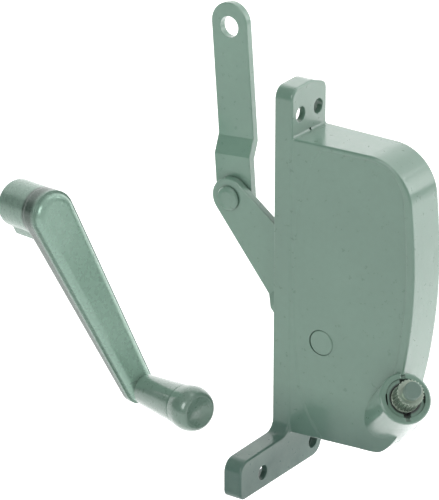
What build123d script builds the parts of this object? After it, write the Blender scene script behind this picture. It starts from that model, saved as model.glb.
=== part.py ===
from build123d import *
import math
import os

# Awning-window operator: a die-cast gearbox that screws to the window frame,
# a worm and sector that swing a pull lever, a jogged link that carries the
# motion to the sash, and the loose crank handle that fits the splined stub.
#
# Frame: X = 0 is the plane of the window frame the flange seats on, +X points
# into the room, +Z is up, and Y = 0 is the middle of the flange. The origin
# stands at the height of the lever's pivot.

os.makedirs("parts", exist_ok=True)

# ------------------------------------------------------------------ dimensions
FLANGE_W = 21.2          # width of the flange and of the tab
FLANGE_T = 6.9           # depth of the flange from the frame to its face
WEB_T = 2.3              # thickness of the face web of tab and foot
SKIRT_T = 2.2            # thickness of the skirt behind the web
TAB_TOP = 90.6           # top of the upper screw tab
CASE_TOP = 72.8          # top of the gear case
CASE_BOTTOM = -37.3      # bottom of the gear case at the flange
FOOT_TOP = -37.6         # upper edge of the foot
FOOT_BOTTOM = -52.6      # lower edge of the foot
FOOT_END = -40.5         # free end of the foot
WALL = 2.0               # general casting wall
SCREW_D = 5.5            # screw clearance holes
TAB_HOLE_Z, TAB_HOLE_Y = 80.2, 5.35
FOOT_HOLE_Z = -46.4
FOOT_HOLES_Y = (-26.9, 4.8)

PIVOT_X = 19.1           # lever pivot axis, parallel to Y, at Z = 0
PIN_D = 9.5              # 3/8 inch pivot pin
LEVER_L = 60.3           # 2-3/8 inch lever, pivot to link rivet
LEVER_ANGLE = 134.7      # lever direction as built, from +X towards +Z
STOCK_T = 2.8            # lever and link plate
LINK_L = 60.3            # rivet to sash hole
LINK_ANGLE = 94.2

MODULE_N = 1.25          # normal module of worm and sector
TEETH = 42               # teeth of the full circle
WORM_R = 5.2             # worm pitch radius
CROSS = 60.0             # angle between worm shaft and pivot axis
SECTOR_HELIX = 23.09     # helix angle of the sector teeth
SECTOR_R = TEETH * MODULE_N / 2 / math.cos(math.radians(SECTOR_HELIX))
CENTRES = SECTOR_R + WORM_R
GEAR_MID_Y = -2.4        # middle plane of the sector
GEAR_T = 5.6

BOSS_R = 9.15            # worm-shaft boss
BOSS_BORE_R = 7.0
RING_U = 20.4            # boss end, along the shaft from the mesh point
SPLINE_R = 4.76          # 3/8 inch spline
SPLINE_TEETH = 24
STOP_AT = (10.0, 36.5)    # stop pin for the raised lever, in X and Z

# ------------------------------------------------------------------ worm frame
AX = Vector(0.59, -0.50, 0.635).normalized()
ROOM = Vector(AX.Z, 0, -AX.X).normalized()          # from pivot towards the worm
MESH = Vector(PIVOT_X, GEAR_MID_Y, 0) + ROOM * CENTRES


def on_shaft(u):
    """Plane square to the worm shaft at u along it; local x points away from the pivot."""
    return Plane(origin=MESH + AX * u, x_dir=ROOM, z_dir=AX)


def xz(y):
    """Plane at depth y, local x = +X, local y = +Z, normal = -Y."""
    return Plane(origin=(0, y, 0), x_dir=(1, 0, 0), z_dir=(0, -1, 0))


# lever frame: local x along the lever, local y to its lower left, normal -Y
la = math.radians(LEVER_ANGLE)


def on_lever(y):
    return Plane(origin=(PIVOT_X, y, 0), x_dir=(math.cos(la), 0, math.sin(la)), z_dir=(0, -1, 0))


RIVET = Vector(PIVOT_X + LEVER_L * math.cos(la), 0, LEVER_L * math.sin(la))
ka = math.radians(LINK_ANGLE)


def on_link(y):
    return Plane(origin=(RIVET.X, y, RIVET.Z), x_dir=(math.cos(ka), 0, math.sin(ka)), z_dir=(0, -1, 0))


# ------------------------------------------------------------------ housing
half = FLANGE_W / 2
FRONT_Y, FRONT_DRAFT = -10.3, 0.030      # front face of the gear case at the flange, and its draft
BACK_Y, BACK_DRAFT = 10.55, -0.046
X_END = 60.0
WALL_PLANE = Plane(origin=(0, 0, 0), x_dir=(0, 1, 0), z_dir=(1, 0, 0))   # local x = +Y, local y = +Z


def front_y(x):
    return FRONT_Y + FRONT_DRAFT * (x - FLANGE_T)


def back_y(x):
    return BACK_Y + BACK_DRAFT * (x - FLANGE_T)


def case_lines(i, x0, top=CASE_TOP):
    """D outline of the gear case in X and Z, set in by i, closed along x0."""
    Line((x0, top - i), (37.0, top - i))
    TangentArc((37.0, top - i), (54.0 - i, 57.0), tangent=(1, 0))
    Spline((54.0 - i, 57.0), (55.6 - i, 32.0), (53.8 - i, 6.0), (50.4 - i, -12.0),
           tangents=[(0.10, -1), (-0.25, -1)])
    Spline((50.4 - i, -12.0), (50.5 - i, -26.8 + 0.4 * i), (45.2 - 0.5 * i, -34.3 + i), (33.6, -36.4 + i),
           tangents=[(0.0, -1), (-1, 0.0)])
    Line((33.6, -36.4 + i), (x0, CASE_BOTTOM + i))
    Line((x0, CASE_BOTTOM + i), (x0, top - i))


with BuildPart() as case_block:
    with BuildSketch(xz(12)):
        with BuildLine():
            case_lines(0.0, 3.0)
        make_face()
    extrude(amount=24)
    with BuildSketch(Plane.XY.offset(-60)):
        with BuildLine():
            Polyline((0, front_y(0)), (X_END, front_y(X_END)), (X_END, back_y(X_END)), (0, back_y(0)), close=True)
        make_face()
    extrude(amount=160, mode=Mode.INTERSECT)
    rim = case_block.faces().sort_by(Axis.Y)[0].edges().filter_by(lambda e: e.center().X > 4)
    fillet(rim, radius=0.7)
    rear = case_block.faces().sort_by(Axis.Y)[-1].edges().filter_by(lambda e: e.center().X > 4)
    fillet(rear, radius=0.9)

# shallow D-shaped panel sunk in the front face, deeper towards the room, run out at the bottom
with BuildPart() as panel:
    with BuildSketch(xz(0)):
        with BuildLine():
            Line((18.6, CASE_TOP - 1.4), (37.0, CASE_TOP - 1.4))
            TangentArc((37.0, CASE_TOP - 1.4), (51.1, 57.0), tangent=(1, 0))
            Spline((51.1, 57.0), (52.6, 32.0), (50.8, 6.0), (47.8, -10.0), tangents=[(0.10, -1), (-0.22, -1)])
            Polyline((47.8, -10.0), (58.0, -16.0), (58.0, -46.0), (26.0, -46.0))
            Spline((26.0, -46.0), (18.6, -35.6), (13.2, -27.6), (8.5, -6.8), (7.3, 22.0), (8.4, 40.6), (11.2, 56.5),
                   tangents=[(-0.55, 1), (0.24, 1)])
            TangentArc((11.2, 56.5), (18.6, CASE_TOP - 1.4), tangent=(0.16, 1))
        make_face()
    extrude(amount=20)
    with BuildSketch(Plane.XY.offset(-60)):
        with BuildLine():
            Polyline((0, -25), (X_END, -25), (X_END, front_y(X_END) + 1.35), (6.0, front_y(6.0) + 0.14), (0, front_y(0) + 0.14),
                     close=True)
        make_face()
    extrude(amount=160, mode=Mode.INTERSECT)
    fillet(panel.faces().sort_by(Axis.Y)[-1].edges(), radius=1.0)

# room for lever, link and sector, open towards the window frame
with BuildPart() as cavity:
    with BuildSketch(xz(12)):
        with BuildLine():
            case_lines(WALL, -2.0)
        make_face()
    extrude(amount=24)
    with BuildSketch(Plane.XY.offset(-60)):
        with BuildLine():
            Polyline((-5, -8.4), (FLANGE_T, -8.4), (34.0, -8.15), (50.0, -6.8), (X_END, -6.2),
                     (X_END, 5.9), (34.0, 7.75), (FLANGE_T, 8.2), (-5, 8.2), close=True)
        make_face()
    extrude(amount=160, mode=Mode.INTERSECT)

# boss around the worm shaft, and the pillar of its inner bearing
with BuildPart() as boss:
    with BuildSketch(on_shaft(RING_U)):
        Circle(BOSS_R)
    extrude(amount=-(RING_U + 8.2))
    fillet(boss.faces().sort_by(Axis((0, 0, 0), tuple(AX)))[-1].edges(), radius=0.9)

with BuildPart() as boss_wall:
    with BuildSketch(on_shaft(RING_U - 1.0)):
        Circle(BOSS_R)
    extrude(amount=-(RING_U - 1.0 - 10.8))

with BuildPart() as pillar:
    with BuildSketch(on_shaft(-6.6)):
        Circle(5.4)
    extrude(amount=-5.6)
    add(case_block.part, mode=Mode.INTERSECT)

with BuildPart() as sweep_room:
    with BuildSketch(on_lever(1.9)):
        Circle(SECTOR_R + 1.2 + 0.7)
    extrude(amount=7.6)

with BuildPart() as housing:
    # flange: tab, back strip and foot in one outline
    with BuildSketch(WALL_PLANE):
        with BuildLine():
            FilletPolyline(
                (-half, 0), (-half, TAB_TOP - 0.6), (2.0, TAB_TOP), (half, TAB_TOP - 2.9), (half, 0),
                radius=[4.2, 7.0, 3.0])
            FilletPolyline(
                (half, 0), (half, FOOT_BOTTOM), (FOOT_END, FOOT_BOTTOM), (FOOT_END, FOOT_TOP - 0.6),
                (-half, FOOT_TOP), (-half, 0), radius=[5.6, 3.2, 4.6, 4.4])
        make_face()
    extrude(amount=FLANGE_T)
    fillet(housing.faces().sort_by(Axis.X)[-1].edges(), radius=0.7)
    add(case_block.part)
    # soft root between the tab and the top of the case, with a small casting pit in it
    root = housing.edges().filter_by(Axis.Y).filter_by(
        lambda e: abs(e.center().X - FLANGE_T) < 0.1 and abs(e.center().Z - CASE_TOP) < 0.1)
    fillet(root, radius=0.9)
    add(panel.part, mode=Mode.SUBTRACT)
    add(boss.part)
    add(cavity.part, mode=Mode.SUBTRACT)
    add(boss_wall.part)
    add(pillar.part)
    add(sweep_room.part, mode=Mode.SUBTRACT)
    # back of the tab and of the foot, hollow behind the face web
    with BuildSketch(WALL_PLANE.offset(-1)):
        with BuildLine():
            FilletPolyline(
                (-half + SKIRT_T, CASE_TOP + 0.6), (-half + SKIRT_T, TAB_TOP - 0.6 - SKIRT_T), (2.0, TAB_TOP - SKIRT_T),
                (half - SKIRT_T, TAB_TOP - 2.9 - SKIRT_T * 0.8), (half - SKIRT_T, CASE_TOP + 0.6),
                radius=[2.4, 5.5, 1.4])
            Line((half - SKIRT_T, CASE_TOP + 0.6), (-half + SKIRT_T, CASE_TOP + 0.6))
        make_face()
    extrude(amount=FLANGE_T - WEB_T + 1, mode=Mode.SUBTRACT)
    with BuildSketch(WALL_PLANE.offset(-1)):
        with BuildLine():
            FilletPolyline(
                (half - SKIRT_T, FOOT_TOP - 1.2), (half - SKIRT_T, FOOT_BOTTOM + SKIRT_T),
                (FOOT_END + SKIRT_T, FOOT_BOTTOM + SKIRT_T), (FOOT_END + SKIRT_T, FOOT_TOP - 0.6 - SKIRT_T),
                (-half - 1, FOOT_TOP - SKIRT_T), (-half + SKIRT_T, FOOT_TOP - 1.2),
                radius=[1.0, 3.6, 1.4, 2.6, 1.0, 1.0], close=True)
        make_face()
    extrude(amount=FLANGE_T - WEB_T + 1, mode=Mode.SUBTRACT)
    # screw holes
    with Locations(*[Plane(origin=(FLANGE_T, y, TAB_HOLE_Z), x_dir=(0, 1, 0), z_dir=(1, 0, 0)) for y in (-TAB_HOLE_Y, TAB_HOLE_Y)],
                   *[Plane(origin=(FLANGE_T, y, FOOT_HOLE_Z), x_dir=(0, 1, 0), z_dir=(1, 0, 0)) for y in FOOT_HOLES_Y]):
        Hole(SCREW_D / 2, depth=FLANGE_T)
    # bores: worm shaft, inner bearing, pivot pin
    with BuildSketch(on_shaft(RING_U + 2)):
        Circle(BOSS_BORE_R)
    extrude(amount=-(RING_U + 2 - 10.4), mode=Mode.SUBTRACT)
    with BuildSketch(on_shaft(11.0)):
        Circle(6.7)
    extrude(amount=-17.4, mode=Mode.SUBTRACT)
    with BuildSketch(on_shaft(0)):
        Circle(3.5)
    extrude(amount=-11.4, mode=Mode.SUBTRACT)
    # staking dents in the rim of the boss, over the bushing
    with BuildSketch(on_shaft(RING_U - 0.7)):
        with PolarLocations(BOSS_BORE_R + 0.3, 2, start_angle=148):
            Rectangle(1.9, 1.5)
    extrude(amount=2, mode=Mode.SUBTRACT)
    # casting pit in the root under the tab
    with BuildSketch(Plane(origin=(FLANGE_T + 1, 0.5, CASE_TOP + 0.5), x_dir=(0, 1, 0), z_dir=(1, 0, 0))):
        Circle(0.5)
    extrude(amount=-2.2, mode=Mode.SUBTRACT)
    with BuildSketch(xz(14)):
        with Locations((PIVOT_X, 0)):
            Circle(PIN_D / 2)
    extrude(amount=28, mode=Mode.SUBTRACT)
    # stop pin bore through the back wall
    with BuildSketch(xz(14)):
        with Locations(STOP_AT):
            Circle(2.0)
    extrude(amount=12, mode=Mode.SUBTRACT)
housing.part.label = "housing"
export_step(housing.part, "parts/housing.step")
print("housing", len(housing.solids()), round(housing.part.volume), housing.part.is_valid)

# ------------------------------------------------------------------ pivot
with BuildPart() as pivot_pin:
    with BuildSketch(xz(front_y(PIVOT_X) + 0.36)):
        with Locations((PIVOT_X, 0)):
            Circle(PIN_D / 2)
    extrude(amount=-(back_y(PIVOT_X) - front_y(PIVOT_X) - 0.41))
    chamfer(pivot_pin.edges(), length=0.45)
pivot_pin.part.label = "pivot_pin"
export_step(pivot_pin.part, "parts/pivot_pin.step")

SHIM_FRONT = (-8.03, -7.6)                # the shim fills the gap between front wall and lever
LEVER_Y0 = -7.55                          # front face of the lever's lower part
GEAR_Y0 = LEVER_Y0 + STOCK_T              # front face of the sector
GEAR_Y1 = GEAR_Y0 + GEAR_T
HUB_Y1 = 5.6


def ring(y0, y1, r_out, r_in, x=PIVOT_X, z=0.0):
    with BuildPart() as p:
        with BuildSketch(xz(y0)):
            with Locations((x, z)):
                Circle(r_out)
                Circle(r_in, mode=Mode.SUBTRACT)
        extrude(amount=-(y1 - y0))
    return p


front_shim = ring(SHIM_FRONT[0], SHIM_FRONT[1], 8.6, PIN_D / 2 + 0.06)
front_shim.part.label = "front_shim"
export_step(front_shim.part, "parts/front_shim.step")

rear_spacer = ring(HUB_Y1 + 0.06, 7.7, 8.0, PIN_D / 2 + 0.06)
rear_spacer.part.label = "rear_spacer"
export_step(rear_spacer.part, "parts/rear_spacer.step")

gear_bushing = ring(LEVER_Y0 + 0.02, HUB_Y1, 6.0, PIN_D / 2 + 0.03)
gear_bushing.part.label = "gear_bushing"
export_step(gear_bushing.part, "parts/gear_bushing.step")

# ------------------------------------------------------------------ sector gear
ROOT_R, TIP_R = SECTOR_R - 1.5, SECTOR_R + 1.2
PITCH_ANGLE = 360 / TEETH
TOOTH_T = 1.55 / math.cos(math.radians(SECTOR_HELIX))    # thickness across the face at the pitch circle
SECTOR_TEETH = range(-8, 4)                              # teeth counted from the mesh point
MESH_ANGLE = math.degrees(math.atan2(ROOM.Z, ROOM.X))
TWIST = math.degrees(math.tan(math.radians(SECTOR_HELIX)) * GEAR_T / SECTOR_R)


def polar(r, deg):
    return (PIVOT_X + r * math.cos(math.radians(deg)), r * math.sin(math.radians(deg)))


def tooth_points(turn):
    pts = []
    k = math.tan(math.radians(20)) / math.cos(math.radians(SECTOR_HELIX))
    for n in SECTOR_TEETH:
        c = MESH_ANGLE + turn + n * PITCH_ANGLE
        for r, side in ((ROOT_R, -1), (TIP_R, -1), (TIP_R, 1), (ROOT_R, 1)):
            half_t = TOOTH_T / 2 + (SECTOR_R - r) * k
            pts.append(polar(r, c + side * math.degrees(half_t / r)))
    return pts


def sector_profile(turn):
    pts = tooth_points(turn)
    with BuildSketch(mode=Mode.PRIVATE) as sk:
        with BuildLine():
            Polyline(polar(9.0, MESH_ANGLE + turn - 79), *pts, polar(9.0, MESH_ANGLE + turn + 40), close=True)
        make_face()
    return sk.sketch


with BuildPart() as sector_gear:
    front_face = xz(GEAR_Y0) * sector_profile(-TWIST / 2)
    rear_face = xz(GEAR_Y1) * sector_profile(TWIST / 2)
    loft(sections=[front_face.face(), rear_face.face()], ruled=True)
    with BuildSketch(xz(GEAR_Y0)):
        with Locations((PIVOT_X, 0)):
            Circle(12.6)
    extrude(amount=-GEAR_T)
    with BuildSketch(xz(GEAR_Y1)):
        with Locations((PIVOT_X, 0)):
            Circle(8.6)
    extrude(amount=-(HUB_Y1 - GEAR_Y1))
    with BuildSketch(xz(-12)):
        with Locations((PIVOT_X, 0)):
            Circle(6.0)
        with Locations(*[polar(9.3, LEVER_ANGLE + a) for a in (60, 180, 300)]):
            Circle(1.6)
    extrude(amount=-24, mode=Mode.SUBTRACT)
sector_gear.part.label = "sector_gear"
export_step(sector_gear.part, "parts/sector_gear.step")
print("sector", len(sector_gear.solids()), round(sector_gear.part.volume), sector_gear.part.is_valid)

# ------------------------------------------------------------------ lever
JOG_X0, JOG_X1 = 21.0, 25.0
LEVER_Y1 = LEVER_Y0 + STOCK_T            # back of the lower part = front of the upper part
TIP_END_R = 7.1

with BuildPart() as lever_arm:
    # side section of the bent strip, swept across the full width
    side = Plane(origin=(PIVOT_X, 0, 0), x_dir=(math.cos(la), 0, math.sin(la)),
                 z_dir=(-math.sin(la), 0, math.cos(la)))
    with BuildSketch(side.offset(-30)):
        with BuildLine():
            y0, y1, t = -LEVER_Y0, -LEVER_Y1, STOCK_T
            s = 1 if side.y_dir.Y < 0 else -1
            Polyline((-20, s * y0), (JOG_X0, s * y0), (JOG_X1, s * y1), (80, s * y1), (80, s * (y1 - t)),
                     (JOG_X1 - 1.0, s * (y1 - t)), (JOG_X0 - 1.0, s * (y0 - t)), (-20, s * (y0 - t)), close=True)
        make_face()
    extrude(amount=60)
    # outline of the lever seen from the front
    with BuildSketch(on_lever(12)):
        with BuildLine():
            a1 = CenterArc((LEVER_L, 0), TIP_END_R, -83, 168)
            p_top = a1 @ 1
            p_low = a1 @ 0
            Line(p_top, (1.0, 12.95))
            TangentArc((1.0, 12.95), (-10.5, -7.5), tangent=(p_top * -1 + Vector(1.0, 12.95)))
            Line((-10.5, -7.5), (4.0, -15.6))
            Line((4.0, -15.6), p_low)
        make_face()
    extrude(amount=24, mode=Mode.INTERSECT)
    # pressed edge of the showing half, round its front face
    tip_face = lever_arm.faces().filter_by(lambda f: f.geom_type == GeomType.PLANE and f.normal_at().Y < -0.99
                                           and abs(f.center().Y - LEVER_Y1) < 0.1)
    tip_rim = tip_face.edges().filter_by(lambda e: (e.center() - Vector(PIVOT_X, e.center().Y, 0)).length > JOG_X1 + 6)
    fillet(tip_rim, radius=0.4)
    with BuildSketch(on_lever(12)):
        Circle(6.0)
        with Locations((LEVER_L, 0)):
            Circle(3.2)
        with Locations(*[(9.3 * math.cos(math.radians(b)), 9.3 * math.sin(math.radians(b))) for b in (60, 180, 300)]):
            Circle(1.6)
    extrude(amount=24, mode=Mode.SUBTRACT)
lever_arm.part.label = "lever_arm"
export_step(lever_arm.part, "parts/lever_arm.step")
print("lever", len(lever_arm.solids()), round(lever_arm.part.volume), lever_arm.part.is_valid)

with BuildPart() as gear_rivets:
    with BuildSketch(on_lever(GEAR_Y1 - 0.0)):
        with Locations(*[(9.3 * math.cos(math.radians(b)), 9.3 * math.sin(math.radians(b))) for b in (60, 180, 300)]):
            Circle(1.6)
    extrude(amount=GEAR_Y1 - LEVER_Y0)
gear_rivets.part.label = "gear_rivets"
export_step(gear_rivets.part, "parts/gear_rivets.step")

# ------------------------------------------------------------------ link joint and link
UP_Y0, UP_Y1 = LEVER_Y1, LEVER_Y1 + STOCK_T          # upper part of the lever
WASH_Y1 = UP_Y1 + 0.5
LINK_Y0 = WASH_Y1 + 0.05
LINK_Y1 = LINK_Y0 + STOCK_T
LINK_JOG = 3.0


def rivet_profile():
    """Half section of the link rivet, local x = radius, local y = depth."""
    return Polyline((0, UP_Y0 - 1.5), (2.6, UP_Y0 - 1.5), (3.9, UP_Y0 - 1.25), (4.4, UP_Y0 - 0.75), (4.4, UP_Y0 - 0.25), (3.2, UP_Y0 - 0.25),
                    (3.2, LINK_Y1 + 0.15), (4.2, LINK_Y1 + 0.15), (4.2, LINK_Y1 + 0.7), (3.4, LINK_Y1 + 1.2), (0, LINK_Y1 + 1.2),
                    close=True)


with BuildPart() as link_rivet:
    with BuildSketch(Plane(origin=(RIVET.X, 0, RIVET.Z), x_dir=(1, 0, 0), z_dir=(0, 0, 1))):
        with BuildLine():
            rivet_profile()
        make_face()
    revolve(axis=Axis((RIVET.X, 0, RIVET.Z), (0, 1, 0)))
link_rivet.part.label = "link_rivet"
export_step(link_rivet.part, "parts/link_rivet.step")

link_washer = ring(UP_Y1, WASH_Y1, 6.4, 3.25, RIVET.X, RIVET.Z)
link_washer.part.label = "link_washer"
export_step(link_washer.part, "parts/link_washer.step")

with BuildPart() as link_arm:
    side = Plane(origin=(RIVET.X, 0, RIVET.Z), x_dir=(math.cos(ka), 0, math.sin(ka)), z_dir=(-math.sin(ka), 0, math.cos(ka)))
    s = 1 if side.y_dir.Y > 0 else -1
    with BuildSketch(side.offset(-20)):
        with BuildLine():
            j0, j1, t = 14.6, 20.6, STOCK_T
            Polyline((-20, s * LINK_Y0), (j0, s * LINK_Y0), (j1, s * (LINK_Y0 + LINK_JOG)), (90, s * (LINK_Y0 + LINK_JOG)),
                     (90, s * (LINK_Y0 + LINK_JOG + t)), (j1 - 1.2, s * (LINK_Y0 + LINK_JOG + t)), (j0 - 1.2, s * (LINK_Y0 + t)),
                     (-20, s * (LINK_Y0 + t)), close=True)
        make_face()
    extrude(amount=40)
    with BuildSketch(on_link(20)):
        with Locations(((LINK_L + 1.3) / 2, 0)):
            SlotCenterToCenter(LINK_L + 1.3, 14.8)
    extrude(amount=40, mode=Mode.INTERSECT)
    # pressed edge round the front of the upper half
    top_face = link_arm.faces().filter_by(lambda f: f.geom_type == GeomType.PLANE and f.normal_at().Y < -0.99
                                          and abs(f.center().Y - LINK_Y0 - LINK_JOG) < 0.1)
    fillet(top_face.edges().filter_by(lambda e: e.center().Z > RIVET.Z + 24), radius=0.4)
    with BuildSketch(on_link(20)):
        Circle(3.25)
        with Locations((LINK_L, 0)):
            Circle(3.8)
    extrude(amount=40, mode=Mode.SUBTRACT)
link_arm.part.label = "link_arm"
export_step(link_arm.part, "parts/link_arm.step")
print("link", len(link_arm.solids()), round(link_arm.part.volume), link_arm.part.is_valid)

# ------------------------------------------------------------------ worm shaft train
LEAD_ANGLE = math.asin(MODULE_N / (2 * WORM_R))
PITCH_AXIAL = math.pi * MODULE_N / math.cos(LEAD_ANGLE)
CORE_R = 2.5
WORM_U0, WORM_U1 = -5.9, 9.3
WORM_TOOTH = 1.45                        # normal thickness of the thread at the pitch radius
WORM_PIN_U = 7.9


def spline_points(r_out, r_in, teeth):
    pts = []
    for n in range(teeth):
        c = 2 * math.pi * n / teeth
        w = 2 * math.pi / teeth
        for r, a in ((r_in, -0.42), (r_out, -0.16), (r_out, 0.16), (r_in, 0.42)):
            pts.append((r * math.cos(c + a * w), r * math.sin(c + a * w)))
    return pts


with BuildPart() as worm_shaft:
    with BuildSketch(on_shaft(-11.2)):
        Circle(CORE_R)
    extrude(amount=11.2 + 9.3)
    with BuildSketch(on_shaft(9.3)):
        Circle(5.6)
    extrude(amount=1.3)
    with BuildSketch(on_shaft(10.6)):
        Circle(4.9)
    extrude(amount=RING_U - 0.4 - 10.6)
    with BuildSketch(on_shaft(RING_U - 0.4)):
        with BuildLine():
            Polyline(*spline_points(SPLINE_R, SPLINE_R - 0.42, SPLINE_TEETH), close=True)
        make_face()
    extrude(amount=7.2)
    with BuildSketch(on_shaft(RING_U + 6.0)):
        Circle(3.05)
    extrude(amount=4.6)
    fillet(worm_shaft.faces().sort_by(Axis((0, 0, 0), tuple(AX)))[-1].edges(), radius=0.5)
    # cross-pin hole through worm and core
    with BuildSketch(Plane(origin=MESH + AX * WORM_PIN_U, x_dir=AX, z_dir=ROOM).offset(-6)):
        Circle(0.75)
    extrude(amount=12, mode=Mode.SUBTRACT)
worm_shaft.part.label = "worm_shaft"
export_step(worm_shaft.part, "parts/worm_shaft.step")
print("shaft", len(worm_shaft.solids()), round(worm_shaft.part.volume), worm_shaft.part.is_valid)

# worm in its own frame, z along the shaft and x away from the pivot
with BuildPart() as worm_blank:
    with BuildSketch(Plane.XY.offset(WORM_U0)):
        Circle(3.7)
    extrude(amount=WORM_U1 - WORM_U0)
    with BuildLine(Plane.XY.offset(-PITCH_AXIAL)) as thread_path:
        Helix(pitch=PITCH_AXIAL, height=3 * PITCH_AXIAL, radius=3.55)
    r0 = 3.55
    h0 = WORM_TOOTH / math.cos(LEAD_ANGLE) / 2 + (WORM_R - r0) * math.tan(math.radians(20))
    h1 = WORM_TOOTH / math.cos(LEAD_ANGLE) / 2 - 1.2 * math.tan(math.radians(20))
    with BuildSketch(Plane(origin=(0, 0, -PITCH_AXIAL), x_dir=(1, 0, 0), z_dir=(0, -1, 0))):
        with BuildLine():
            Polyline((r0, -h0), (WORM_R + 1.2, -h1), (WORM_R + 1.2, h1), (r0, h0), close=True)
        make_face()
    sweep(path=thread_path.wire(), is_frenet=True)
    with BuildSketch(Plane.XY.offset(-20)):
        Circle(CORE_R)
    extrude(amount=40, mode=Mode.SUBTRACT)
    with BuildSketch(Plane(origin=(0, 0, WORM_PIN_U), x_dir=(0, 0, 1), z_dir=(1, 0, 0)).offset(-8)):
        Circle(0.75)
    extrude(amount=16, mode=Mode.SUBTRACT)

with BuildPart() as worm:
    with Locations(on_shaft(0).location):
        add(worm_blank.part)
worm.part.label = "worm"
export_step(worm.part, "parts/worm.step")
print("worm", len(worm.solids()), round(worm.part.volume), worm.part.is_valid)

with BuildPart() as worm_pin:
    with BuildSketch(Plane(origin=MESH + AX * WORM_PIN_U, x_dir=AX, z_dir=ROOM).offset(-3.6)):
        Circle(0.75)
    extrude(amount=7.2)
worm_pin.part.label = "worm_pin"
export_step(worm_pin.part, "parts/worm_pin.step")


def shaft_ring(u0, u1, r_out, r_in):
    with BuildPart() as p:
        with BuildSketch(on_shaft(u0)):
            Circle(r_out)
            Circle(r_in, mode=Mode.SUBTRACT)
        extrude(amount=u1 - u0)
    return p


inner_bushing = shaft_ring(-11.2, -6.4, 3.5, CORE_R + 0.03)
inner_bushing.part.label = "inner_bushing"
export_step(inner_bushing.part, "parts/inner_bushing.step")

thrust_washer = shaft_ring(10.66, 11.46, 6.9, 4.96)
thrust_washer.part.label = "thrust_washer"
export_step(thrust_washer.part, "parts/thrust_washer.step")

with BuildPart() as retaining_bushing:
    with BuildSketch(on_shaft(11.5)):
        Circle(BOSS_BORE_R)
        Circle(4.94, mode=Mode.SUBTRACT)
    extrude(amount=RING_U - 0.5 - 11.5)
    # two narrow slots and two wide spanner notches in the rim
    with BuildSketch(on_shaft(RING_U - 2.9)):
        with PolarLocations(BOSS_BORE_R, 2, start_angle=58):
            Rectangle(1.5, 4.0)
        with PolarLocations(BOSS_BORE_R - 0.5, 2, start_angle=148):
            Rectangle(3.2, 2.6)
    extrude(amount=3, mode=Mode.SUBTRACT)
    outer = retaining_bushing.faces().sort_by(Axis((0, 0, 0), tuple(AX)))[-1].edges().filter_by(GeomType.CIRCLE).filter_by(
        lambda e: e.radius < 5.5)
    chamfer(outer, length=0.4)
retaining_bushing.part.label = "retaining_bushing"
export_step(retaining_bushing.part, "parts/retaining_bushing.step")

# stop pin for the raised lever, pressed through the back wall
with BuildPart() as stop_pin:
    with BuildSketch(xz(back_y(STOP_AT[0]) - 0.1)):
        with Locations(STOP_AT):
            Circle(2.0)
    extrude(amount=back_y(STOP_AT[0]) - 0.1 + 5.5)
stop_pin.part.label = "stop_pin"
export_step(stop_pin.part, "parts/stop_pin.step")

# ------------------------------------------------------------------ crank handle
HANDLE_H = Vector(0.95167, -0.29226, 0.09444).normalized()      # socket axis, mouth towards -H
HANDLE_D = Vector(0.19992, 0.35603, -0.91285).normalized()      # from socket to knob
HANDLE_AT = Vector(-70.16, -46.86, 39.95)
THROW = 79.0


def handle_plane(z):
    return Plane(origin=HANDLE_AT + HANDLE_H * z, x_dir=HANDLE_D, z_dir=HANDLE_H)


def arm_outline(i):
    """Tapered arm seen along the socket, set in by i; local x runs from the socket to the knob."""
    r0, r1 = 8.65 - i, 6.1 - i
    a = math.degrees(math.acos((r0 - r1) / THROW))
    c0 = CenterArc((0, 0), r0, a, 360 - 2 * a)
    c1 = CenterArc((THROW, 0), r1, -a, 2 * a)
    Line(c0 @ 0, c1 @ 1)
    Line(c0 @ 1, c1 @ 0)


with BuildPart() as arm_base:
    with BuildSketch(handle_plane(-4.6)):
        with BuildLine():
            arm_outline(0.0)
        make_face()
    extrude(amount=7.2)
    # the back tapers towards the knob
    with BuildSketch(Plane(origin=HANDLE_AT, x_dir=HANDLE_D, z_dir=HANDLE_H.cross(HANDLE_D)).offset(-12)):
        with BuildLine():
            k = 1 if Plane(origin=(0, 0, 0), x_dir=HANDLE_D, z_dir=HANDLE_H.cross(HANDLE_D)).y_dir.dot(HANDLE_H) > 0 else -1
            Polyline((0.0, k * -4.6), (THROW + 9, k * -1.9), (THROW + 9, k * -9), (0.0, k * -9), close=True)
        make_face()
    extrude(amount=24, mode=Mode.SUBTRACT)
    back = arm_base.faces().filter_by(lambda f: f.geom_type == GeomType.PLANE and f.normal_at().dot(HANDLE_H) < -0.9)
    fillet(back.edges().filter_by(lambda e: e.center().Z < HANDLE_AT.Z - 3), radius=2.0)

with BuildPart() as arm_crown:
    with BuildSketch(handle_plane(2.6)):
        with BuildLine():
            arm_outline(0.8)
        make_face()
    extrude(amount=2.8)
    fillet(arm_crown.faces().sort_by(Axis((0, 0, 0), tuple(HANDLE_H)))[-1].edges(), radius=2.6)

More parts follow.
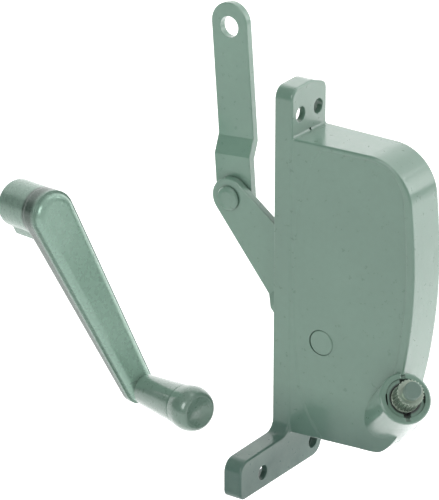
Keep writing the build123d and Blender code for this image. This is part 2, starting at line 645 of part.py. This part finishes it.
with BuildPart() as crank_handle:
    add(arm_base.part)
    add(arm_crown.part)
    # boss under the knob's end
    with BuildSketch(handle_plane(-4.3)):
        with Locations((THROW, 0)):
            Circle(4.6)
    extrude(amount=4)
    # socket
    with BuildSketch(handle_plane(-19.4)):
        Circle(8.55)
    extrude(amount=17)
    fillet(crank_handle.faces().sort_by(Axis((0, 0, 0), tuple(HANDLE_H)))[0].edges(), radius=0.6)
    # lug that takes the set screw
    with BuildSketch(handle_plane(-18.4)):
        with Locations((4.8, 0)):
            RectangleRounded(9.6, 12.8, 1.2)
    extrude(amount=15)
    # socket for the spline insert and the pocket of the shaft tip
    with BuildSketch(handle_plane(-20.5)):
        Circle(6.2)
    extrude(amount=13.5, mode=Mode.SUBTRACT)
    with BuildSketch(handle_plane(-8)):
        Circle(3.4)
    extrude(amount=8.0, mode=Mode.SUBTRACT)
    # set-screw hole through the lug
    with BuildSketch(Plane(origin=HANDLE_AT + HANDLE_H * -12.5, x_dir=HANDLE_H, z_dir=HANDLE_D)):
        Circle(2.4)
    extrude(amount=20, mode=Mode.SUBTRACT)
    # bore of the knob spindle
    with BuildSketch(handle_plane(-10)):
        with Locations((THROW, 0)):
            Circle(2.4)
    extrude(amount=20, mode=Mode.SUBTRACT)
crank_handle.part.label = "crank_handle"
export_step(crank_handle.part, "parts/crank_handle.step")
print("handle", len(crank_handle.solids()), round(crank_handle.part.volume), crank_handle.part.is_valid)

with BuildPart() as spline_insert:
    with BuildSketch(handle_plane(-19.1)):
        Circle(6.2)
        with BuildLine():
            Polyline(*spline_points(SPLINE_R + 0.10, SPLINE_R - 0.30, SPLINE_TEETH), close=True)
        make_face(mode=Mode.SUBTRACT)
    extrude(amount=12.1)
    with BuildSketch(Plane(origin=HANDLE_AT + HANDLE_H * -12.5, x_dir=HANDLE_H, z_dir=HANDLE_D)):
        Circle(2.45)
    extrude(amount=20, mode=Mode.SUBTRACT)
spline_insert.part.label = "spline_insert"
export_step(spline_insert.part, "parts/spline_insert.step")

with BuildPart() as set_screw:
    with BuildSketch(Plane(origin=HANDLE_AT + HANDLE_H * -12.5 + HANDLE_D * 4.9, x_dir=HANDLE_H, z_dir=HANDLE_D)):
        Circle(2.4)
    extrude(amount=4.5)
    with BuildSketch(Plane(origin=HANDLE_AT + HANDLE_H * -12.5 + HANDLE_D * 9.4, x_dir=HANDLE_H, z_dir=HANDLE_D)):
        RegularPolygon(1.25, 6)
    extrude(amount=-2.2, mode=Mode.SUBTRACT)
set_screw.part.label = "set_screw"
export_step(set_screw.part, "parts/set_screw.step")

KNOB_Z0, KNOB_Z1 = 6.5, 38.2


def knob_axis_plane():
    """Local x = radius, local y = along the knob."""
    o = HANDLE_AT + HANDLE_D * THROW
    return Plane(origin=o, x_dir=HANDLE_D, z_dir=HANDLE_D.cross(HANDLE_H))


KNOB_AXIS = Axis(tuple(HANDLE_AT + HANDLE_D * THROW), tuple(HANDLE_H))

with BuildPart() as knob:
    with BuildSketch(knob_axis_plane()):
        with BuildLine():
            Polyline((2.47, KNOB_Z0), (5.3, KNOB_Z0), (5.75, KNOB_Z0 + 0.45), (7.35, KNOB_Z0 + 21.6), (7.2, KNOB_Z0 + 22.2),
                     (7.75, KNOB_Z0 + 22.9))
            Spline((7.75, KNOB_Z0 + 22.9), (8.15, KNOB_Z0 + 27.2), (7.3, KNOB_Z0 + 30.4), (5.6, KNOB_Z1),
                   tangents=[(0.12, 1), (-1, 0.12)])
            ThreePointArc((5.6, KNOB_Z1), (3.0, KNOB_Z1 - 0.6), (0, KNOB_Z1 - 0.85))
            Line((0, KNOB_Z1 - 0.85), (0, KNOB_Z0 + 26.0))
            Line((0, KNOB_Z0 + 26.0), (3.6, KNOB_Z0 + 26.0))
            Line((3.6, KNOB_Z0 + 26.0), (3.6, KNOB_Z0 + 22.5))
            Line((3.6, KNOB_Z0 + 22.5), (2.47, KNOB_Z0 + 22.5))
            Line((2.47, KNOB_Z0 + 22.5), (2.47, KNOB_Z0))
        make_face()
    revolve(axis=KNOB_AXIS)
knob.part.label = "knob"
export_step(knob.part, "parts/knob.step")
print("knob", len(knob.solids()), round(knob.part.volume), knob.part.is_valid)

with BuildPart() as knob_spindle:
    with BuildSketch(handle_plane(-5.5)):
        with Locations((THROW, 0)):
            Circle(3.5)
    extrude(amount=1.2)
    chamfer(knob_spindle.faces().sort_by(Axis((0, 0, 0), tuple(HANDLE_H)))[0].edges(), length=0.5)
    with BuildSketch(handle_plane(-5.0)):
        with Locations((THROW, 0)):
            Circle(2.4)
    extrude(amount=KNOB_Z0 + 25.2 + 5.0)
knob_spindle.part.label = "knob_spindle"
export_step(knob_spindle.part, "parts/knob_spindle.step")

with BuildPart() as knob_clip:
    with BuildSketch(knob_axis_plane()):
        with BuildLine():
            Polyline((2.4, KNOB_Z0 + 22.7), (3.4, KNOB_Z0 + 22.7), (3.4, KNOB_Z0 + 23.6), (2.4, KNOB_Z0 + 23.6), close=True)
        make_face()
    revolve(axis=KNOB_AXIS)
knob_clip.part.label = "knob_clip"
export_step(knob_clip.part, "parts/knob_clip.step")

with BuildPart() as knob_washer:
    with BuildSketch(knob_axis_plane()):
        with BuildLine():
            Polyline((2.46, 5.45), (4.4, 5.45), (4.4, 6.25), (2.46, 6.25), close=True)
        make_face()
    revolve(axis=KNOB_AXIS)
knob_washer.part.label = "knob_washer"
export_step(knob_washer.part, "parts/knob_washer.step")
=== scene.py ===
import bpy
import bmesh
import math
from mathutils import Matrix, Vector

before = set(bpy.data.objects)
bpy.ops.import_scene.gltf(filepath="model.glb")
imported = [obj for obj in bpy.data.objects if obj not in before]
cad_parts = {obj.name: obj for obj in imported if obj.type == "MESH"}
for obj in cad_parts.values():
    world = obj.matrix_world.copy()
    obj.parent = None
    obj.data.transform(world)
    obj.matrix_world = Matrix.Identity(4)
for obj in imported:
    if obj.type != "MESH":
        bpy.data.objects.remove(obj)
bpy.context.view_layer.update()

scene = bpy.context.scene

# ---------------------------------------------------------------- camera
# long lens, from the front left of the room and a little above
RIGHT = Vector((0.81610912, 0.57789783, 0.0))
UP = Vector((-0.21750544, 0.30716186, 0.92646801))
BACK = Vector((0.53540386, -0.75609899, 0.37637351))
cam_data = bpy.data.cameras.new("camera")
cam_data.sensor_fit = "HORIZONTAL"
cam_data.sensor_width = 36.0
cam_data.lens = 36.0 * 3021.335 / 439.0
cam_data.clip_end = 50.0
cam = bpy.data.objects.new("camera", cam_data)
scene.collection.objects.link(cam)
m = Matrix((RIGHT, UP, BACK)).transposed().to_4x4()
m.translation = Vector((0.54348442, -0.81082094, 0.42350130))
cam.matrix_world = m
scene.camera = cam
scene.view_settings.view_transform = "Standard"


# ---------------------------------------------------------------- stage and light
def mesh_object(name, bm):
    me = bpy.data.meshes.new(name)
    bm.to_mesh(me)
    bm.free()
    ob = bpy.data.objects.new(name, me)
    scene.collection.objects.link(ob)
    return ob


world = bpy.data.worlds.new("studio")
world.use_nodes = True
wn = world.node_tree.nodes
wl = world.node_tree.links
bg = wn["Background"]
# a white room: pale at the horizon, dimmer near the floor, brightest overhead
wtc = wn.new("ShaderNodeTexCoord")
wr = wn.new("ShaderNodeValToRGB")
wmap = wn.new("ShaderNodeMapRange")
wmap.inputs["From Min"].default_value = -1.0
wmap.inputs["From Max"].default_value = 1.0
wside = wn.new("ShaderNodeVectorMath")
wside.operation = "DOT_PRODUCT"
wside.inputs[1].default_value = (0.62, 0.42, 0.66)
wl.new(wtc.outputs["Generated"], wside.inputs[0])
wl.new(wside.outputs["Value"], wmap.inputs["Value"])
wl.new(wmap.outputs["Result"], wr.inputs["Fac"])
cr = wr.color_ramp
cr.elements[0].position = 0.28
cr.elements[0].color = (0.05, 0.055, 0.055, 1)
cr.elements[1].position = 0.50
cr.elements[1].color = (0.42, 0.43, 0.42, 1)
e = cr.elements.new(0.85)
e.color = (1.0, 1.0, 1.0, 1)
wl.new(wr.outputs["Color"], bg.inputs["Color"])
bg.inputs["Strength"].default_value = 0.55
scene.world = world

# round floor under the object with a backdrop that sweeps up behind it
away = Vector((-BACK.x, -BACK.y, 0)).normalized()
side = Vector((away.y, -away.x, 0))
bm = bmesh.new()
prof = [(-2.2 + i * 0.7, 0.0) for i in range(5)]
for i in range(1, 17):
    a = math.radians(90 * i / 16)
    prof.append((0.6 + 0.8 * math.sin(a), 0.8 - 0.8 * math.cos(a)))
prof.append((1.4, 2.4))
rows = []
for t, z in prof:
    rows.append([bm.verts.new(away * t + side * s + Vector((0, 0, z - 0.17))) for s in (-2.6, 2.6)])
for r0, r1 in zip(rows, rows[1:]):
    bm.faces.new((r0[0], r0[1], r1[1], r1[0]))
floor = mesh_object("floor", bm)
for p in floor.data.polygons:
    p.use_smooth = True
fm = bpy.data.materials.new("floor_white")
fm.use_nodes = True
fb = fm.node_tree.nodes["Principled BSDF"]
fb.inputs["Base Color"].default_value = (0.93, 0.93, 0.93, 1)
fb.inputs["Roughness"].default_value = 0.95
fb.inputs["Specular IOR Level"].default_value = 0.1
fb.inputs["Emission Color"].default_value = (1.0, 1.0, 1.0, 1)
# the floor glows by emission as a painted pool of light: bright behind and to the right of the object, falling off to
# the near left
ftc = fm.node_tree.nodes.new("ShaderNodeTexCoord")
fdot = fm.node_tree.nodes.new("ShaderNodeVectorMath")
fdot.operation = "DOT_PRODUCT"
fdot.inputs[1].default_value = away + side * 0.5
fmap = fm.node_tree.nodes.new("ShaderNodeMapRange")
fmap.inputs["From Min"].default_value = -0.12
fmap.inputs["From Max"].default_value = 0.12
fmap.inputs["To Min"].default_value = 0.05
fmap.inputs["To Max"].default_value = 0.66
fl = fm.node_tree.links
fl.new(ftc.outputs["Object"], fdot.inputs[0])
fl.new(fdot.outputs["Value"], fmap.inputs["Value"])
fl.new(fmap.outputs["Result"], fb.inputs["Emission Strength"])
floor.data.materials.append(fm)


def area(name, loc, target, size, power, size_y=None):
    d = bpy.data.lights.new(name, "AREA")
    d.shape = "RECTANGLE"
    d.size = size
    d.size_y = size_y or size
    d.energy = power
    o = bpy.data.objects.new(name, d)
    scene.collection.objects.link(o)
    o.location = loc
    o.rotation_euler = (Vector(target) - Vector(loc)).to_track_quat("-Z", "Y").to_euler()
    return o


area("top", (0.25, 0.30, 1.25), (0, 0, 0), 0.9, 2.4)
area("key", (0.80, 0.95, 1.00), (0, 0, 0.02), 0.55, 3.2)
area("right", (0.98, 0.92, 0.48), (0, 0, 0.04), 0.7, 3.4)
area("front", (-0.05, -1.35, 0.75), (0, 0, 0.04), 0.8, 8.3)


# ---------------------------------------------------------------- materials
class Mat:
    """A small helper that wires one node material."""

    def __init__(self, name):
        self.mat = bpy.data.materials.new(name)
        self.mat.use_nodes = True
        self.n = self.mat.node_tree.nodes
        self.l = self.mat.node_tree.links
        self.p = self.n["Principled BSDF"]
        self.tc = self.n.new("ShaderNodeTexCoord")
        self.at = self.tc.outputs["Object"]

    def noise(self, scale, detail=4.0, rough=0.55, stretch=None):
        t = self.n.new("ShaderNodeTexNoise")
        t.inputs["Scale"].default_value = scale
        t.inputs["Detail"].default_value = detail
        t.inputs["Roughness"].default_value = rough
        if stretch:
            mp = self.n.new("ShaderNodeMapping")
            mp.inputs["Scale"].default_value = stretch
            self.l.new(self.at, mp.inputs["Vector"])
            self.l.new(mp.outputs["Vector"], t.inputs["Vector"])
        else:
            self.l.new(self.at, t.inputs["Vector"])
        return t.outputs["Fac"]

    def ramp(self, fac, stops):
        r = self.n.new("ShaderNodeValToRGB")
        c = r.color_ramp
        c.elements[0].position, c.elements[0].color = stops[0][0], (*stops[0][1], 1)
        c.elements[1].position, c.elements[1].color = stops[-1][0], (*stops[-1][1], 1)
        for pos, col in stops[1:-1]:
            c.elements.new(pos).color = (*col, 1)
        self.l.new(fac, r.inputs["Fac"])
        return r.outputs["Color"]

    def span(self, fac, lo, hi, f0=0.0, f1=1.0):
        r = self.n.new("ShaderNodeMapRange")
        r.inputs["From Min"].default_value = f0
        r.inputs["From Max"].default_value = f1
        r.inputs["To Min"].default_value = lo
        r.inputs["To Max"].default_value = hi
        self.l.new(fac, r.inputs["Value"])
        return r.outputs["Result"]

    def mix(self, fac, a, b, blend="MIX"):
        r = self.n.new("ShaderNodeMix")
        r.data_type = "RGBA"
        r.blend_type = blend
        for k, v in (("Factor", fac), ("A", a), ("B", b)):
            s = [i for i in r.inputs if i.name == k and (k == "Factor" and i.type == "VALUE" or k != "Factor" and i.type == "RGBA")][0]
            if isinstance(v, (int, float)):
                s.default_value = v
            elif isinstance(v, tuple):
                s.default_value = (*v, 1)
            else:
                self.l.new(v, s)
        return [o for o in r.outputs if o.type == "RGBA"][0]

    def math(self, op, a, b=0.0):
        r = self.n.new("ShaderNodeMath")
        r.operation = op
        for i, v in enumerate((a, b)):
            if isinstance(v, (int, float)):
                r.inputs[i].default_value = v
            else:
                self.l.new(v, r.inputs[i])
        return r.outputs[0]

    def bump(self, height, strength, distance, normal=None):
        b = self.n.new("ShaderNodeBump")
        b.inputs["Strength"].default_value = strength
        b.inputs["Distance"].default_value = distance
        self.l.new(height, b.inputs["Height"])
        if normal is not None:
            self.l.new(normal, b.inputs["Normal"])
        return b.outputs["Normal"]

    def edge(self, radius):
        """0 on flat faces, towards 1 on sharp outside and inside corners."""
        b = self.n.new("ShaderNodeBevel")
        b.samples = 6
        b.inputs["Radius"].default_value = radius
        g = self.n.new("ShaderNodeNewGeometry")
        d = self.n.new("ShaderNodeVectorMath")
        d.operation = "DOT_PRODUCT"
        self.l.new(b.outputs["Normal"], d.inputs[0])
        self.l.new(g.outputs["Normal"], d.inputs[1])
        return self.math("SUBTRACT", 1.0, d.outputs["Value"]), b.outputs["Normal"]

    def set(self, **kw):
        for k, v in kw.items():
            s = self.p.inputs[k.replace("_", " ")]
            if isinstance(v, (int, float)):
                s.default_value = v
            elif isinstance(v, tuple):
                s.default_value = (*v, 1) if len(v) == 3 else v
            else:
                self.l.new(v, s)


    def crevice(self, distance):
        """0 in the open, towards 1 deep in a corner or slot."""
        a = self.n.new("ShaderNodeAmbientOcclusion")
        a.samples = 6
        a.inputs["Distance"].default_value = distance
        return self.math("SUBTRACT", 1.0, a.outputs["AO"])

    def along(self, point, axis):
        """Distance in metres along an axis from a point on it."""
        s = self.n.new("ShaderNodeVectorMath")
        s.operation = "SUBTRACT"
        s.inputs[1].default_value = point
        self.l.new(self.at, s.inputs[0])
        d = self.n.new("ShaderNodeVectorMath")
        d.operation = "DOT_PRODUCT"
        d.inputs[1].default_value = axis
        self.l.new(s.outputs["Vector"], d.inputs[0])
        return d.outputs["Value"]

    def away_from(self, point, axis):
        """Distance in metres from the line through a point."""
        s = self.n.new("ShaderNodeVectorMath")
        s.operation = "SUBTRACT"
        s.inputs[1].default_value = point
        self.l.new(self.at, s.inputs[0])
        c = self.n.new("ShaderNodeVectorMath")
        c.operation = "CROSS_PRODUCT"
        c.inputs[1].default_value = axis
        self.l.new(s.outputs["Vector"], c.inputs[0])
        d = self.n.new("ShaderNodeVectorMath")
        d.operation = "LENGTH"
        self.l.new(c.outputs["Vector"], d.inputs[0])
        return d.outputs["Value"]


AXIS = Vector((0.59, -0.50, 0.635)).normalized()          # drive stub
MESH = Vector((0.043815, -0.0024, -0.022963))
GRIP = Vector((0.95167, -0.29226, 0.09444)).normalized()  # crank socket and knob
ARM = Vector((0.19992, 0.35603, -0.91285)).normalized()
HUB = Vector((-0.07016, -0.04686, 0.03995))
KNOB = HUB + ARM * 0.079


def enamel(name, base, peel=0.10, rough=(0.26, 0.40), metal=0.0, coat=1.0, grain=2600.0, edge_wear_and_highlight=0.5, soften=0.0006,
           crevice_shade_strength=0.55, bore_shade=None, bottom_shade=None, crown_highlight_flank_shade=None):
    """Sprayed grey-green enamel: cloudy tone, orange peel, painted shade in the corners, arrises paler from wear and
    a painted highlight.
    """
    k = Mat(name)
    cloud = k.noise(34.0, 3.0, 0.5)
    fine = k.noise(420.0, 5.0, 0.6)
    tone = k.ramp(cloud, [(0.30, tuple(c * 0.93 for c in base)), (0.50, base), (0.72, tuple(c * 1.07 for c in base))])
    speck = k.ramp(fine, [(0.30, tuple(c * 0.92 for c in base)), (0.70, tuple(min(1.0, c * 1.08) for c in base))])
    col = k.mix(0.35, tone, speck)
    # a few dust nibs under the film
    pins = k.span(k.noise(1300.0, 2.0, 0.5), 0.0, 1.0, 0.74, 0.80)
    col = k.mix(k.math("MULTIPLY", pins, 0.03), col, tuple(c * 0.45 for c in base))
    # painted shade in corners and slots, broken up by noise
    deep = k.crevice(0.0032)
    crevice_shade = k.math("MULTIPLY", k.span(deep, 0.0, crevice_shade_strength, 0.22, 0.85), k.span(k.noise(300.0, 4.0, 0.6), 0.75, 1.0, 0.3, 0.6))
    col = k.mix(crevice_shade, col, (0.030, 0.040, 0.036))
    if bottom_shade:
        # painted shade, darker and less glossy towards the bottom
        z1, z0, shade = bottom_shade
        g = k.math("MULTIPLY", k.span(k.along((0, 0, 0), (0, 0, 1)), 0.85, 0.0, z0, z1), k.span(k.noise(60.0, 4.0, 0.6), 0.8, 1.0, 0.3, 0.6))
        col = k.mix(g, col, shade)
        coat = k.span(g, coat, coat * 0.12)
        k.set(Specular_IOR_Level=k.span(g, 0.5, 0.15))
    if crown_highlight_flank_shade:
        # painted shade past the hub and a painted highlight along the crown of the arm
        point, axis, u_hub, u0, u1 = crown_highlight_flank_shade
        u = k.along(point, axis)
        crown_highlight = k.span(u, 0.0, 1.0, u0, u1)
        col = k.mix(crown_highlight, k.mix(k.span(u, 0.0, 0.75, u_hub - 0.0004, u_hub + 0.0006), col, tuple(c * 0.16 for c in base)),
                    tuple(min(1.0, c * 1.45) for c in base))
    # paler arrises: partly edge wear, partly a painted highlight
    edge, soft = k.edge(soften)
    broken = k.span(k.noise(260.0, 4.0, 0.6), 0.30, 1.0, 0.35, 0.62)
    worn_and_highlit_edge = k.math("MULTIPLY", k.math("MULTIPLY", k.span(edge, 0.0, edge_wear_and_highlight, 0.02, 0.26), broken), k.math("SUBTRACT", 1.0, crevice_shade))
    col = k.mix(worn_and_highlit_edge, col, tuple(min(1.0, c * 1.5 + 0.06) for c in base))
    if bore_shade:
        # painted shade inside the bore, near the shaft axis
        point, axis, r0, r1 = bore_shade
        inside = k.span(k.away_from(point, axis), 1.0, 0.0, r0, r1)
        col = k.mix(inside, col, (0.022, 0.028, 0.026))
    # faint rubbed hairlines in two directions
    hair = k.noise(1.0, 3.0, 0.6, stretch=(240.0, 1900.0, 260.0))
    hair2 = k.noise(1.0, 3.0, 0.6, stretch=(1700.0, 220.0, 700.0))
    scuff = k.span(k.math("MAXIMUM", hair, hair2), 0.0, 1.0, 0.66, 0.80)
    r = k.math("ADD", k.span(fine, rough[0], rough[1], 0.3, 0.7), k.math("MULTIPLY", scuff, 0.10))
    wave = k.noise(190.0, 2.0, 0.5)
    n = k.bump(wave, peel * 1.2, 0.0006, soft)
    n = k.bump(k.noise(grain, 2.0, 0.5), peel, 0.0002, n)
    k.set(Base_Color=col, Roughness=r, Metallic=metal, Normal=n, Coat_Weight=coat,
          Coat_Roughness=k.math("ADD", k.span(cloud, 0.06, 0.13, 0.3, 0.7), k.math("MULTIPLY", scuff, 0.08)), Coat_IOR=1.55, Coat_Normal=n)
    return k.mat


def metal(name, base, tint, rough=(0.22, 0.42), lines=(900.0, 900.0, 60.0), crevice_shade_strength=0.7, crevice_shade_colour=(0.05, 0.05, 0.045), soften=0.00025, paint=None):
    """Plated or ground metal: brushed grain, stains, painted shade in the corners, arrises paler from wear and a
    painted highlight.
    """
    k = Mat(name)
    cloud = k.noise(120.0, 4.0, 0.6)
    fine = k.noise(900.0, 3.0, 0.5)
    brush = k.noise(1.0, 4.0, 0.6, stretch=lines)
    col = k.ramp(cloud, [(0.30, tuple(c * 0.82 for c in base)), (0.52, base), (0.75, tint)])
    col = k.mix(k.span(brush, 0.0, 0.35, 0.35, 0.75), col, tuple(c * 0.55 for c in base))
    # painted shade: darker, less metallic and rougher in corners and slots
    deep = k.crevice(0.0020)
    crevice_shade = k.math("MULTIPLY", k.span(deep, 0.0, crevice_shade_strength, 0.20, 0.80), k.span(cloud, 0.6, 1.0, 0.3, 0.6))
    col = k.mix(crevice_shade, col, crevice_shade_colour)
    edge, soft = k.edge(soften)
    # paler arrises: partly wear, partly a painted highlight
    col = k.mix(k.span(edge, 0.0, 0.6, 0.03, 0.3), col, tuple(min(1.0, c * 1.3 + 0.05) for c in base))
    met = k.span(crevice_shade, 1.0, 0.2)
    if paint:
        point, axis, u0, u1, colour = paint
        on = k.span(k.math("ADD", k.along(point, axis), k.math("MULTIPLY", fine, 0.0006)), 0.0, 1.0, u0, u1)
        col = k.mix(on, col, colour)
        met = k.math("MULTIPLY", met, k.math("SUBTRACT", 1.0, on))
    n = k.bump(brush, 0.10, 0.0002, soft)
    n = k.bump(fine, 0.08, 0.0001, n)
    k.set(Base_Color=col, Metallic=met, Roughness=k.math("ADD", k.span(brush, rough[0], rough[1], 0.3, 0.7), k.math("MULTIPLY", crevice_shade, 0.25)), Normal=n)
    return k.mat


GREEN = (0.164, 0.282, 0.218)
m_case = enamel("enamel_case", GREEN, soften=0.00045, bottom_shade=(-0.018, -0.044, (0.060, 0.110, 0.098)))
m_lever = enamel("enamel_lever", tuple(c * 1.08 for c in GREEN), peel=0.06, grain=3400.0, edge_wear_and_highlight=0.42, soften=0.0004)
m_link = enamel("enamel_link", tuple(c * 1.18 for c in GREEN), peel=0.06, grain=3400.0, edge_wear_and_highlight=0.42, soften=0.0004)
m_pins = enamel("enamel_pins", tuple(c * 1.03 for c in GREEN), peel=0.04, grain=4200.0, edge_wear_and_highlight=0.30, soften=0.0003, crevice_shade_strength=0.8)
m_bush = enamel("enamel_bushing", GREEN, peel=0.05, grain=3800.0, edge_wear_and_highlight=0.34, soften=0.00025, crevice_shade_strength=0.75, bore_shade=(MESH, AXIS, 0.0054, 0.0060))
m_crank = enamel("enamel_crank", (0.215, 0.330, 0.268), peel=0.07, rough=(0.22, 0.34), metal=0.30, coat=0.30, soften=0.0006, crown_highlight_flank_shade=(HUB, GRIP, -0.0046, 0.0005, 0.0040))
m_knob = enamel("enamel_knob", (0.176, 0.278, 0.222), peel=0.06, rough=(0.24, 0.36), metal=0.12, soften=0.0005)
m_zinc = metal("zinc_plate", (0.46, 0.50, 0.45), (0.56, 0.57, 0.47))
m_stub = metal("stub_steel", (0.50, 0.60, 0.50), (0.62, 0.70, 0.60), rough=(0.26, 0.40), lines=(150.0, 150.0, 150.0), crevice_shade_strength=0.40, crevice_shade_colour=(0.03, 0.042, 0.036),
               paint=(MESH, AXIS, 0.0282, 0.0286, (0.150, 0.225, 0.190)))
m_gear = metal("oiled_steel", (0.30, 0.30, 0.29), (0.22, 0.20, 0.17), rough=(0.20, 0.38), crevice_shade_colour=(0.020, 0.017, 0.012))
m_black = metal("black_oxide", (0.035, 0.036, 0.038), (0.060, 0.052, 0.046), rough=(0.30, 0.48))
m_bronze = metal("sintered_bronze", (0.44, 0.27, 0.12), (0.36, 0.22, 0.10), rough=(0.34, 0.52), crevice_shade_colour=(0.030, 0.022, 0.014))
LOOK = {"housing": m_case, "lever_arm": m_lever, "link_arm": m_link, "link_rivet": m_pins, "link_washer": m_pins, "pivot_pin": m_pins,
        "stop_pin": m_pins, "retaining_bushing": m_bush, "crank_handle": m_crank, "knob": m_knob, "knob_spindle": m_zinc,
        "knob_clip": m_zinc, "knob_washer": m_zinc, "spline_insert": m_zinc, "gear_rivets": m_zinc, "front_shim": m_zinc,
        "rear_spacer": m_zinc, "worm_pin": m_zinc, "worm_shaft": m_stub, "worm": m_gear, "sector_gear": m_gear, "set_screw": m_black,
        "gear_bushing": m_bronze, "inner_bushing": m_bronze, "thrust_washer": m_bronze}
for name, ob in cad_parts.items():
    ob.data.materials.clear()
    ob.data.materials.append(LOOK[name])
